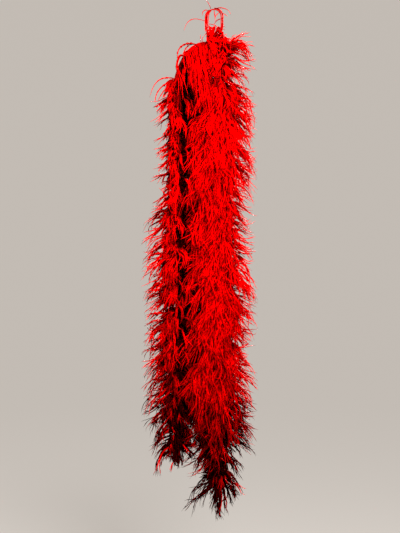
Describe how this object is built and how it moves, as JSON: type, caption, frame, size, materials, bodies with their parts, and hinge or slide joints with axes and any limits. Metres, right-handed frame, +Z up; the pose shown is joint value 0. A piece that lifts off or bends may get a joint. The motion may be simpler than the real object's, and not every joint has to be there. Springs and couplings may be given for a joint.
{
  "type": "feather boa",
  "caption": "Full ostrich feather boa, folded in two and hung from a short cord loop, so that its two tails fall side by side.",
  "frame": {"origin": "the inner top of the hanging loop, where a hook or rail carries it", "axes": "+Z up along the hanging boa, +X from the shorter tail towards the longer tail, +Y away from the front"},
  "size_m": [0.211, 0.124, 0.987],
  "materials": {
    "feather": "dyed ostrich barbs, soft and loose, satin",
    "core_cord": "dyed twisted cotton cord, matt",
    "loop_cord": "dyed twisted cord, matt",
    "thread": "dyed thread, wound, matt"
  },
  "bodies": {
    "loop": {"hanging_loop": "loop_cord"},
    "knot": {"loop_whipping": "thread"},
    "fold": {"core_fold": "core_cord", "thread_fold": "thread", "plume_fold_1": "feather", "plume_fold_2": "feather", "plume_fold_3": "feather"},
    "left_1": {"core_left_1": "core_cord", "thread_left_1": "thread", "plume_left_01": "feather", "plume_left_02": "feather", "plume_left_03": "feather"},
    "left_2": {"core_left_2": "core_cord", "thread_left_2": "thread", "plume_left_04": "feather", "plume_left_05": "feather", "plume_left_06": "feather"},
    "left_3": {"core_left_3": "core_cord", "thread_left_3": "thread", "plume_left_07": "feather", "plume_left_08": "feather", "plume_left_09": "feather"},
    "left_4": {"core_left_4": "core_cord", "thread_left_4": "thread", "plume_left_10": "feather", "plume_left_11": "feather", "plume_left_12": "feather", "end_whipping_left": "thread", "end_loop_left": "loop_cord"},
    "right_1": {"core_right_1": "core_cord", "thread_right_1": "thread", "plume_right_01": "feather", "plume_right_02": "feather", "plume_right_03": "feather"},
    "right_2": {"core_right_2": "core_cord", "thread_right_2": "thread", "plume_right_04": "feather", "plume_right_05": "feather", "plume_right_06": "feather"},
    "right_3": {"core_right_3": "core_cord", "thread_right_3": "thread", "plume_right_07": "feather", "plume_right_08": "feather", "plume_right_09": "feather"},
    "right_4": {"core_right_4": "core_cord", "thread_right_4": "thread", "plume_right_10": "feather", "plume_right_11": "feather", "plume_right_12": "feather", "end_whipping_right": "thread", "end_loop_right": "loop_cord"}
  },
  "joints": [
    {"name": "side_swing", "type": "hinge", "parent": "loop", "child": "knot", "pos_m": [-0.012, 0, -0.068], "axis": [0, 1, 0], "range_deg": [-20, 20]},
    {"name": "fore_aft_swing", "type": "hinge", "parent": "knot", "child": "fold", "pos_m": [-0.012, 0, -0.068], "axis": [1, 0, 0], "range_deg": [-30, 30]},
    {"name": "left_1_bend", "type": "hinge", "parent": "fold", "child": "left_1", "pos_m": [-0.074, 0, -0.16], "axis": [0, 1, 0], "range_deg": [0, 25]},
    {"name": "left_2_bend", "type": "hinge", "parent": "left_1", "child": "left_2", "pos_m": [-0.074, 0, -0.34], "axis": [-1, 0, 0], "range_deg": [-22, 22]},
    {"name": "left_3_bend", "type": "hinge", "parent": "left_2", "child": "left_3", "pos_m": [-0.074, 0, -0.52], "axis": [0, 1, 0], "range_deg": [0, 25]},
    {"name": "left_4_bend", "type": "hinge", "parent": "left_3", "child": "left_4", "pos_m": [-0.074, 0, -0.7], "axis": [-1, 0, 0], "range_deg": [-22, 22]},
    {"name": "right_1_bend", "type": "hinge", "parent": "fold", "child": "right_1", "pos_m": [0.015, 0, -0.16], "axis": [0, -1, 0], "range_deg": [0, 25]},
    {"name": "right_2_bend", "type": "hinge", "parent": "right_1", "child": "right_2", "pos_m": [0.015, 0, -0.358], "axis": [1, 0, 0], "range_deg": [-22, 22]},
    {"name": "right_3_bend", "type": "hinge", "parent": "right_2", "child": "right_3", "pos_m": [0.015, 0, -0.556], "axis": [0, -1, 0], "range_deg": [0, 25]},
    {"name": "right_4_bend", "type": "hinge", "parent": "right_3", "child": "right_4", "pos_m": [0.015, 0, -0.754], "axis": [1, 0, 0], "range_deg": [-22, 22]}
  ]
}
